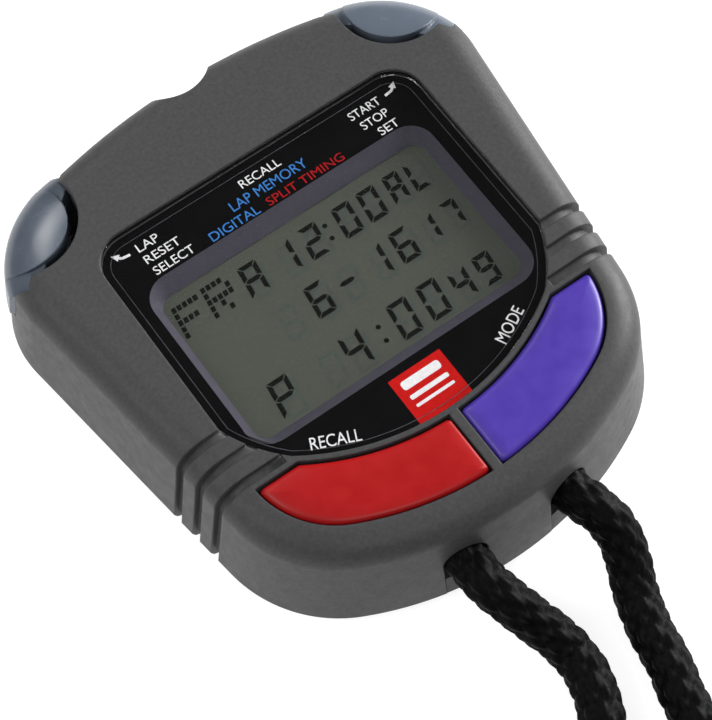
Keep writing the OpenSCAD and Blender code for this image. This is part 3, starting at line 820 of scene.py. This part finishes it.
def button_band(top):
    """The round corner of the button, turned about the corner's own axis and crowned up to top."""
    lip = BUTTON_FACE_R + WALL_DRAFT * (BUTTON_CROWN_Z - BUTTON_BOTTOM)
    crown = rounded_edge((BUTTON_FACE_R, BUTTON_CROWN_Z), BUTTON_CROWN_W, top - BUTTON_CROWN_Z, 5)
    profile = [(BAND_INNER_R, BUTTON_BOTTOM), (lip, BUTTON_BOTTOM), *crown, (BAND_INNER_R, top)]
    return closed_loft("band", [level(circle(BUTTON_AXIS, r, 144), z) for r, z in profile])


def add_button(name, node, body, place):
    """A cap with two ears beside it and a stem that holds a spring and a clip."""
    cap = combined(button_band(BUTTON_TOP), "INTERSECT", [well(BUTTON_R, 0)])
    cap.name = name
    ear_box = corner_box("ear_box", EAR_BACK, EAR_HALF, 0, CASE_H + BEYOND)
    ears = combined(button_band(EAR_TOP), "INTERSECT", [ear_box])
    combined(cap, "UNION", [ears, stem_solid("stem", STEM_R, 2, STEM_END)])
    bore = stem_solid("spring_bore", SPRING_BORE_R, *SPRING_BORE)
    combined(bore, "DIFFERENCE", [stem_solid("stem", STEM_R, 0, STEM_END)])
    groove = stem_solid("clip_groove", STEM_R + BEYOND, *CLIP_GROOVE)
    combined(groove, "DIFFERENCE", [stem_solid("neck", STEM_R - CLIP_GROOVE_D, 0, STEM_END)])
    combined(cap, "DIFFERENCE", [bore, groove])
    assign(smoothed(placed(cap, place), 30), button_skin.material, body, "button", node)


add_button("start_stop_cap", "start_stop_button", "start_stop", BUTTON_PLACES[0])
add_button("lap_reset_cap", "lap_reset_button", "lap_reset", BUTTON_PLACES[1])

# ---------------------------------------------------------------- face keys

KEY_SPOT = (15.5, -23)
KEY_EDGE_R = 0.7
PLUNGER_R = 2
DOME_TOP = 11.3
FLANGE_W = 0.7
FLANGE_T = 1.3
FLANGE_LENS_GAP = 1.2
# How far in from the key's edge, and how far below its highest part
KEY_CROWN = ((0, 0.42), (1, 0.16), (2, 0.05), (3, 0))


def add_key(name, node, body, slot, surface, side):
    """A crowned key with a flange under the case's face and a plunger that stands on its dome."""
    rings = [level(key_outline(0), KEY_FLANGE_Z - OVERLAP)]
    rings += [level(key_outline(-inset), CASE_H + KEY_PROUD - drop) for inset, drop in KEY_CROWN]
    key = bevelled(loft(name, rings), KEY_EDGE_R, 6)
    flange_low = KEY_FLANGE_Z - FLANGE_T
    flange = prism("flange", key_outline(FLANGE_W), flange_low, KEY_FLANGE_Z)
    rim = prism("rim", lens_outline(FLANGE_LENS_GAP), flange_low - BEYOND, KEY_FLANGE_Z + BEYOND)
    combined(flange, "DIFFERENCE", [rim])
    plunger = prism("plunger", circle(KEY_SPOT, PLUNGER_R), DOME_TOP, KEY_FLANGE_Z)
    combined(key, "UNION", [flange, plunger])
    assign(smoothed(placed(key, side), 40), surface.material, body, slot, node)


add_key("purple_key", "mode_key", "mode", "purple_key", purple_skin, BOTH_SIDES[0])
add_key("red_key", "recall_key", "recall", "red_key", red_skin, BOTH_SIDES[1])

# ---------------------------------------------------------------- lens, mask and bezel

WINDOW_MID = (-0.2, -0.25)
# Outlines of the bezel from its inside out, each as a size and a corner radius
WINDOW = ((38.5, 22.3), 1.8)
WINDOW_LIP = ((38.8, 22.6), 1.9)
FRAME = ((41, 25.9), 3.4)
BEZEL = ((42.4, 27.3), 3)
BEZEL_TOP = 15
LCD_TOP = 13
LCD_FACE = 12.95
CHAMFER_W = 1.1
CHAMFER_H = 0.12
LENS_RING_W = 0.4
MASK_INSET = 0.15
# Layers of print, and of the painted highlight line, in the lens's underside, each above the one
# before
MASK_LAYER = (LENS_BOTTOM + 0.01, LENS_BOTTOM + 0.03)
BADGE_LAYER = (LENS_BOTTOM + 0.032, LENS_BOTTOM + 0.038)
PRINT_AND_HIGHLIGHT_LAYER = (LENS_BOTTOM + 0.04, LENS_BOTTOM + 0.055)


def filled_plate(name, loops, low, high):
    """Thin plates in one piece, each bounded by one of the loops."""
    curve = bpy.data.curves.new(name, "CURVE")
    curve.dimensions = "2D"
    curve.fill_mode = "BOTH"
    curve.extrude = (high - low) / 2 * MM
    for loop in loops:
        spline = curve.splines.new("POLY")
        spline.points.add(len(loop) - 1)
        for point, (x, y) in zip(spline.points, loop):
            point.co = (x * MM, y * MM, 0, 1)
        spline.use_cyclic_u = True
    return curve_to_mesh(name, curve, (0, 0, (low + high) / 2))


def curve_to_mesh(name, curve, place):
    """The curve as a mesh object, moved to a place in millimetres."""
    maker = bpy.data.objects.new(name, curve)
    bpy.context.scene.collection.objects.link(maker)
    graph = bpy.context.evaluated_depsgraph_get()
    mesh = bpy.data.meshes.new_from_object(maker.evaluated_get(graph))
    bpy.data.objects.remove(maker)
    mesh.transform(Matrix.Translation([c * MM for c in place]))
    made = bpy.data.objects.new(name, mesh)
    bpy.context.scene.collection.objects.link(made)
    return made


def add_lens():
    """The lens with its shallow chamfer, and the black mask on its underside."""
    rings = [
        level(lens_outline(0), LENS_BOTTOM),
        level(lens_outline(0), LENS_TOP - CHAMFER_H),
        level(lens_outline(-CHAMFER_W), LENS_TOP),
        level(lens_outline(-CHAMFER_W - LENS_RING_W), LENS_TOP),
    ]
    lens = smoothed(loft("lens", rings), 50)
    assign(lens, lens_skin.material, "watch", "lens", "display_lens")
    opening = rounded_rectangle(WINDOW_MID, *FRAME)
    mask = prism("lens_mask", lens_outline(-MASK_INSET), *MASK_LAYER)
    combined(mask, "DIFFERENCE", [prism("mask_opening", opening, LENS_BOTTOM - BEYOND, LENS_TOP)])
    assign(mask, mask_skin.material, "watch", "lens")


def add_bezel():
    """The sloping frame between the lens and the display."""
    steps = (
        (BEZEL, LCD_TOP), (BEZEL, BEZEL_TOP), (FRAME, BEZEL_TOP),
        (WINDOW_LIP, LCD_TOP + 0.25), (WINDOW, LCD_TOP + 0.1), (WINDOW, LCD_TOP),
    )
    rings = [level(rounded_rectangle(WINDOW_MID, *outline), z) for outline, z in steps]
    bezel = smoothed(closed_loft("bezel", rings), 40)
    assign(bezel, bezel_skin.material, "watch", "bezel", "display_bezel")


add_lens()
add_bezel()

# ---------------------------------------------------------------- display

SLANT = math.tan(math.radians(7))
SEGMENTS = {
    "0": "abcdef", "1": "bc", "2": "abged", "4": "fgbc", "6": "afgedc", "7": "abc", "8": "abcdefg",
    "9": "abfgcd", "A": "abcefg", "P": "abefg", "L": "fed", "-": "g",
}
DOTS = {
    "F": ("11111", "10000", "11110", "10000", "10000"),
    "R": ("11110", "10001", "11111", "10100", "10010"),
}
# Half a dot, as shares of its letter's width and height
DOT_HALF = (0.095, 0.1)


def segment_shapes(width, height, thick):
    """The seven bars of a digit about its middle, as outlines with gaps between their ends."""
    w, h, t = width / 2, height / 2, thick
    gap = 0.12
    end_cut = t * 0.9
    mid_cut = t / 2

    def level_bar(y, up):
        inner = y - up * t
        return [(-w + gap, y), (w - gap, y), (w - t - gap / 2, inner), (-w + t + gap / 2, inner)]

    def upright_bar(x, out, low, high):
        inner = x - out * t
        low_end = low + gap
        high_end = high - gap
        low_cut = end_cut if low < 0 else mid_cut
        high_cut = end_cut if high > 0 else mid_cut
        return [
            (x, low_end), (x, high_end),
            (inner, high_end - high_cut), (inner, low_end + low_cut),
        ]

    middle = [
        (-w + gap * 1.5, 0), (-w + t, t / 2), (w - t, t / 2),
        (w - gap * 1.5, 0), (w - t, -t / 2), (-w + t, -t / 2),
    ]
    return {
        "a": level_bar(h, 1), "d": level_bar(-h, -1), "g": middle,
        "b": upright_bar(w, 1, 0, h), "c": upright_bar(w, 1, -h, 0),
        "f": upright_bar(-w, -1, 0, h), "e": upright_bar(-w, -1, -h, 0),
    }


def slanted(loop, mid):
    """The loop leaning to the right, about the middle mid."""
    return [(mid[0] + x + SLANT * y, mid[1] + y) for x, y in loop]


def digit_loops(character, mid, width, height, thick):
    """Outlines of the bars that make up a seven-segment character."""
    shapes = segment_shapes(width, height, thick)
    return [slanted(shapes[s], mid) for s in SEGMENTS[character]]


def dot_loops(character, mid, width, height):
    """Outlines of the dots that make up a letter, in five rows and five columns."""
    half_w = width * DOT_HALF[0]
    half_h = height * DOT_HALF[1]
    loops = []
    for row, marks in enumerate(DOTS[character]):
        for column, mark in enumerate(marks):
            if mark == "1":
                x = width * (column / 4 - 0.5)
                y = height * (0.5 - row / 4)
                dot = rectangle((x - half_w, y - half_h), (x + half_w, y + half_h))
                loops.append(slanted(dot, mid))
    return loops


# Seven-segment figures: character, middle x, middle y, width and height
DIGITS = [
    ("A", -8.2, 6.9, 2.6, 4.5), ("1", -3.4, 6.9, 2.6, 4.5), ("2", 0.6, 6.9, 2.6, 4.5),
    ("0", 5.6, 6.9, 2.6, 4.5), ("0", 9.3, 6.9, 2.6, 4.5),
    ("A", 13.0, 7, 2.2, 4.2), ("L", 16.1, 7, 2.2, 4.2),
    ("6", -3.3, 0, 2.6, 4.5), ("-", 0.7, 0, 2.6, 4.5),
    ("1", 5.2, 0, 2.6, 4.5), ("6", 9.2, 0, 2.6, 4.5),
    ("1", 12.9, 0, 2.2, 3.8), ("7", 16.4, 0, 2.2, 3.8),
    ("P", -13.9, -8, 2.8, 5), ("4", -3.7, -8, 2.8, 5), ("0", 3.4, -8, 2.8, 5),
    ("0", 7.7, -8, 2.8, 5), ("4", 11.7, -8.4, 2.4, 4.2), ("9", 15.3, -8.4, 2.4, 4.2),
]
DOT_LETTERS = [("F", -17.05, 7.15, 3.05, 3.7), ("R", -12.75, 7.35, 3.05, 3.7)]
# Figures with no lit bar: middle x, middle y, width and height
UNLIT = [(-8.2, 0, 2.6, 4.5), (-7.7, -8, 2.6, 4.5)]
# Middle x, middle y and distance between the dots
COLONS = [(2.75, 6.85, 1.9), (0.05, -8.1, 2)]
COLON_DOT_R = 0.32
LIT_THICK = 0.62
UNLIT_AND_SHADOW_THICK = 0.5
# How far the faint figures lie from the dark ones, which makes them a painted shadow of the bars on
# the reflector
SHADOW_SHIFT = (0.45, -0.5)
UNLIT_AND_SHADOW_LAYER = (LCD_FACE + 0.005, LCD_FACE + 0.01)
LIT_LAYER = (LCD_FACE + 0.015, LCD_FACE + 0.03)


def add_display():
    """The dark characters of the display, and a faint 8 behind each figure: the unlit bars, shifted
    aside so that they also paint the shadow the bars cast on the reflector.
    """
    lit = []
    for character, x, y, width, height in DIGITS:
        lit += digit_loops(character, (x, y), width, height, LIT_THICK)
    for character, x, y, width, height in DOT_LETTERS:
        lit += dot_loops(character, (x, y), width, height)
    for x, y, spread in COLONS:
        for shift in (-spread / 2, spread / 2):
            lit.append(circle((x + SLANT * shift, y + shift), COLON_DOT_R, 20))
    faint = []
    for x, y, width, height in [*(digit[1:] for digit in DIGITS), *UNLIT]:
        mid = (x + SHADOW_SHIFT[0], y + SHADOW_SHIFT[1])
        faint += digit_loops("8", mid, width, height, UNLIT_AND_SHADOW_THICK)
    # The faint set shows the unlit bars and, shifted aside, a painted shadow of the bars
    for name, loops, layer, ink in (
        ("unlit_segments_and_shadow", faint, UNLIT_AND_SHADOW_LAYER, unlit_and_shadow_ink),
        ("lit_segments", lit, LIT_LAYER, segment_ink),
    ):
        assign(filled_plate(name, loops, *layer), ink.material, "watch", "lcd")


add_display()

# ---------------------------------------------------------------- print on the lens, and a painted highlight line

ARROW_W = 0.35
ARROW_HEAD = 0.95
BADGE_TOP_Y = -14.4
BADGE_LOW_Y = -21.25
BADGE_HALF = 3.7
# The badge's lower edge is level in its middle, and its ends rise a little
BADGE_LEVEL_HALF = 1.8
BADGE_RISE = 0.25
# Middle y and height of each bar
BADGE_BARS = ((-15.9, 1.2), (-17.6, 0.6), (-18.8, 0.4))
BADGE_BAR_W = 5.4
# Inset and width of the painted highlight line under the foot of the lens's chamfer
HIGHLIGHT_LINE_INSET = 1.08
HIGHLIGHT_LINE_W = 0.08


def printed_words(name, words, mid, size, surface, turn=0):
    """Words stretched to a width and height, about their middle, and turned by some degrees."""
    text = bpy.data.curves.new(name, "FONT")
    text.body = words
    text.align_x = "CENTER"
    text.align_y = "CENTER"
    text.size = 1
    text.extrude = (PRINT_AND_HIGHLIGHT_LAYER[1] - PRINT_AND_HIGHLIGHT_LAYER[0]) / 2 * MM
    made = curve_to_mesh(name, text, (0, 0, 0))
    low = [min(v.co[i] for v in made.data.vertices) for i in (0, 1)]
    high = [max(v.co[i] for v in made.data.vertices) for i in (0, 1)]
    scale = [size[i] * MM / (high[i] - low[i]) for i in (0, 1)]
    made.data.transform(Matrix.Translation((-(low[0] + high[0]) / 2, -(low[1] + high[1]) / 2, 0)))
    made.data.transform(Matrix.Diagonal((*scale, 1, 1)))
    place = Matrix.Translation((*mid, sum(PRINT_AND_HIGHLIGHT_LAYER) / 2))
    placed(made, place @ Matrix.Rotation(math.radians(turn), 4, "Z"))
    assign(made, surface.material, "watch", "lens")


def add_arrow(name, tail, bend, tip):
    """A bent arrow that points to a corner button."""

    def bar(p, q):
        across = Vector((p[1] - q[1], q[0] - p[0])).normalized() * ARROW_W / 2
        return [Vector(p) - across, Vector(q) - across, Vector(q) + across, Vector(p) + across]

    ahead = (Vector(tip) - Vector(bend)).normalized()
    side = Vector((-ahead.y, ahead.x))
    back = Vector(tip) - ahead * ARROW_HEAD
    point = [Vector(tip), back + side * ARROW_HEAD / 2, back - side * ARROW_HEAD / 2]
    for i, loop in enumerate((bar(tail, bend), bar(bend, back), point)):
        part = filled_plate(f"{name}_{i}", [loop], *PRINT_AND_HIGHLIGHT_LAYER)
        assign(part, white_ink.material, "watch", "lens")


def add_print():
    printed_words("word_lap", "LAP", (-16.3, 17.55), (3, 1.2), white_ink)
    printed_words("word_reset", "RESET", (-15.4, 15.65), (4.9, 1.2), white_ink)
    printed_words("word_select", "SELECT", (-14.95, 13.75), (5.6, 1.2), white_ink)
    printed_words("word_start", "START", (15.65, 17.4), (4.5, 1.2), white_ink)
    printed_words("word_stop", "STOP", (15.85, 15.45), (3.9, 1.2), white_ink)
    printed_words("word_set", "SET", (16.6, 13.55), (2.8, 1.2), white_ink)
    printed_words("word_recall_top", "RECALL", (0.05, 17.5), (5.8, 1.2), white_ink)
    printed_words("words_memory", "LAP MEMORY", (0, 15.55), (11, 1.4), blue_ink)
    printed_words("word_digital", "DIGITAL", (-6.3, 13.55), (7, 1.3), blue_ink)
    printed_words("words_split", "SPLIT TIMING", (4.1, 13.55), (11.2, 1.2), red_ink)
    printed_words("word_mode", "MODE", (12.25, -16.75), (5, 1.5), white_ink, 27)
    printed_words("word_recall", "RECALL", (-12.7, -16.65), (6, 1.5), white_ink, -24)
    for name, s in (("left_arrow", -1), ("right_arrow", 1)):
        add_arrow(name, (s * 18.85, 17.4), (s * 19.95, 17.55), (s * 20.9, 18.5))


def add_badge():
    """A plain red square with a generic mark of three bars."""
    square = [
        (-BADGE_HALF, BADGE_TOP_Y), (BADGE_HALF, BADGE_TOP_Y),
        (BADGE_HALF, BADGE_LOW_Y + BADGE_RISE), (BADGE_LEVEL_HALF, BADGE_LOW_Y),
        (-BADGE_LEVEL_HALF, BADGE_LOW_Y), (-BADGE_HALF, BADGE_LOW_Y + BADGE_RISE),
    ]
    badge = filled_plate("badge", [square], *BADGE_LAYER)
    assign(badge, badge_ink.material, "watch", "lens")
    for i, (y, height) in enumerate(BADGE_BARS):
        outline = rounded_rectangle((0, y), (BADGE_BAR_W, height), height / 3)
        bar = filled_plate(f"badge_bar_{i}", [outline], *PRINT_AND_HIGHLIGHT_LAYER)
        assign(bar, white_ink.material, "watch", "lens")


def add_chamfer_highlight_line():
    """A thin grey line round the mask, under the foot of the lens's chamfer: a painted highlight
    for the light that the chamfer's edge catches.
    """
    line = prism("chamfer_highlight_line", lens_outline(-HIGHLIGHT_LINE_INSET), *PRINT_AND_HIGHLIGHT_LAYER)
    hole = lens_outline(-HIGHLIGHT_LINE_INSET - HIGHLIGHT_LINE_W)
    combined(line, "DIFFERENCE", [prism("chamfer_highlight_hole", hole, LENS_BOTTOM - BEYOND, LENS_TOP)])
    assign(line, chamfer_highlight_ink.material, "watch", "lens")


add_print()
add_badge()
add_chamfer_highlight_line()

# ---------------------------------------------------------------- finishes of the CAD pieces

FINISHES = {
    "rear_cover": cover_skin, "case_gasket": rubber_skin, "case_screws": steel_skin,
    "lens_adhesive": tape_skin, "lcd_panel": lcd_skin, "lcd_reflector": foil_skin,
    "zebra_strip_upper": pink_silicone, "zebra_strip_lower": pink_silicone,
    "circuit_board": board_skin, "board_screws": steel_skin, "processor_chip": epoxy_skin,
    "quartz_crystal": steel_skin, "chip_parts": ceramic_skin,
    "coin_cell": steel_skin, "cell_holder": holder_skin,
    "cell_clip": steel_skin, "cell_contact": brass_skin,
    "piezo_disc": brass_skin, "buzzer_spring": steel_skin,
    "start_stop_spring": steel_skin, "start_stop_seal": rubber_skin,
    "start_stop_clip": steel_skin, "start_stop_contact": brass_skin,
    "lap_reset_spring": steel_skin, "lap_reset_seal": rubber_skin,
    "lap_reset_clip": steel_skin, "lap_reset_contact": brass_skin,
    "keypad_sheet": silicone_skin, "mode_dome": steel_skin, "recall_dome": steel_skin,
    "lanyard_pin": steel_skin, "lanyard_inner_turn": cord_skin,
}
for node, surface in FINISHES.items():
    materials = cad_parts[node].data.materials
    materials.clear()
    materials.append(surface.material)

# ---------------------------------------------------------------- floor and light

FLOOR_REACH = 900
SKY_STRENGTH = 0.1


def add_floor():
    """Paper that glows, which keeps the ground white where less light falls."""
    outline = rectangle((-FLOOR_REACH, -FLOOR_REACH), (FLOOR_REACH, FLOOR_REACH))
    floor = mesh_object("floor", level(outline, 0), [(0, 1, 2, 3)])
    glow = {"Emission_Color": (1, 1, 1, 1), "Emission_Strength": 0.85}
    paper = Surface("paper", (0.35, 0.35, 0.35), 0.9, **glow)
    paper.grain(2, 0.02)
    floor.data.materials.append(paper.material)


def add_light(name, place, size, power):
    """A square softbox that faces the watch: its place and size in metres, its power in watts."""
    data = bpy.data.lights.new(name, "AREA")
    data.size = size
    data.energy = power
    light = bpy.data.objects.new(name, data)
    light.location = place
    light.rotation_euler = (-Vector(place)).to_track_quat("-Z", "Y").to_euler()
    bpy.context.scene.collection.objects.link(light)


def add_sky():
    world = bpy.data.worlds.new("sky")
    world.use_nodes = True
    background = world.node_tree.nodes["Background"]
    background.inputs["Color"].default_value = (1, 1, 1, 1)
    background.inputs["Strength"].default_value = SKY_STRENGTH
    bpy.context.scene.world = world


add_floor()
add_light("left_box", (-0.5, 0.15, 0.55), 0.4, 2.2)
add_light("front_box", (-0.15, -0.5, 0.62), 0.35, 1.3)
add_light("back_box", (-0.07, 0.57, 0.56), 0.22, 1.2)
add_light("right_box", (0.66, 0, 0.24), 0.35, 8)
add_sky()
bpy.context.scene.view_settings.view_transform = "Standard"
